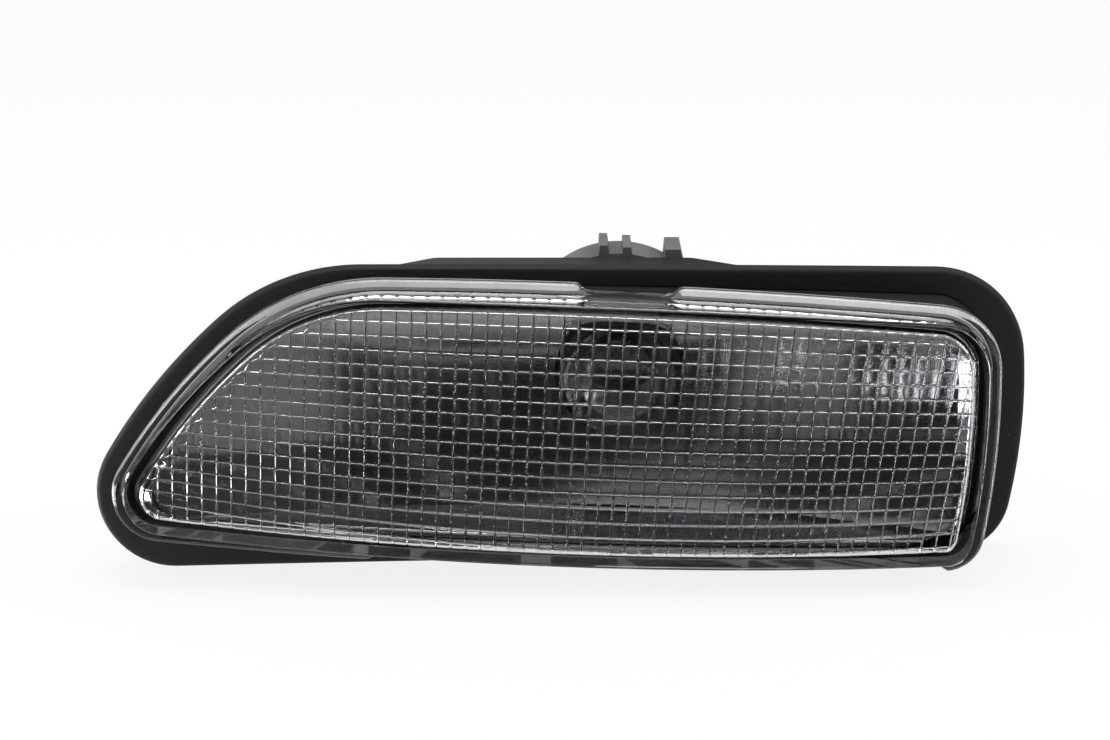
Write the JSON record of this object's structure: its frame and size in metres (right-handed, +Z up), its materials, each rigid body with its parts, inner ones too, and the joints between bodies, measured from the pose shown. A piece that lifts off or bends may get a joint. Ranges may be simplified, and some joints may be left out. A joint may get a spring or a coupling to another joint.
{
  "type": "vehicle indicator lamp",
  "caption": "Corner indicator lamp: clear pillow-optic lens on a black bent-flange housing with rubber gasket, metallised reflector and twist-lock bulb holder.",
  "frame": {"origin": "middle of the lens base, on the plane where the lens meets its seal", "axes": "lens faces -Y, +Z up, +X to the right seen from the front"},
  "size_m": [0.2034, 0.0865, 0.0694],
  "materials": {
    "clear_lens": "clear moulded acrylic, polished",
    "adhesive": "pale, satin",
    "black_rubber": "matte, faintly dusty",
    "black_plastic": "fine moulded grain",
    "metallised": "vacuum metallised",
    "grey_plastic": "satin moulded",
    "contact_brass": "stamped strip",
    "bulb_glass": "clear blown",
    "lead_wire": "drawn wire",
    "tungsten": "matte wire",
    "cap_brass": "pressed, bright",
    "black_glass": "fused glass, glossy",
    "solder": "dull solder"
  },
  "bodies": {
    "lamp": {"lens": "clear_lens", "lens_seal": "adhesive", "gasket": "black_rubber", "housing": "black_plastic", "reflector": "metallised", "vent_elbow": "black_rubber"},
    "holder": {"bulb_holder": "grey_plastic", "holder_seal": "black_rubber", "live_contact": "contact_brass", "earth_contact": "contact_brass", "bulb_glass": "bulb_glass", "bulb_stem": "bulb_glass", "filament_leads": "lead_wire", "filament": "tungsten", "bulb_cap": "cap_brass", "bulb_pins": "cap_brass", "bulb_insulator": "black_glass", "bulb_contact": "solder"}
  },
  "joints": [
    {"name": "holder_twist", "type": "hinge", "parent": "lamp", "child": "holder", "pos_m": [0.0135, 0.044, 0.0015], "axis": [0, 1, 0], "range_deg": [0, 45]}
  ]
}
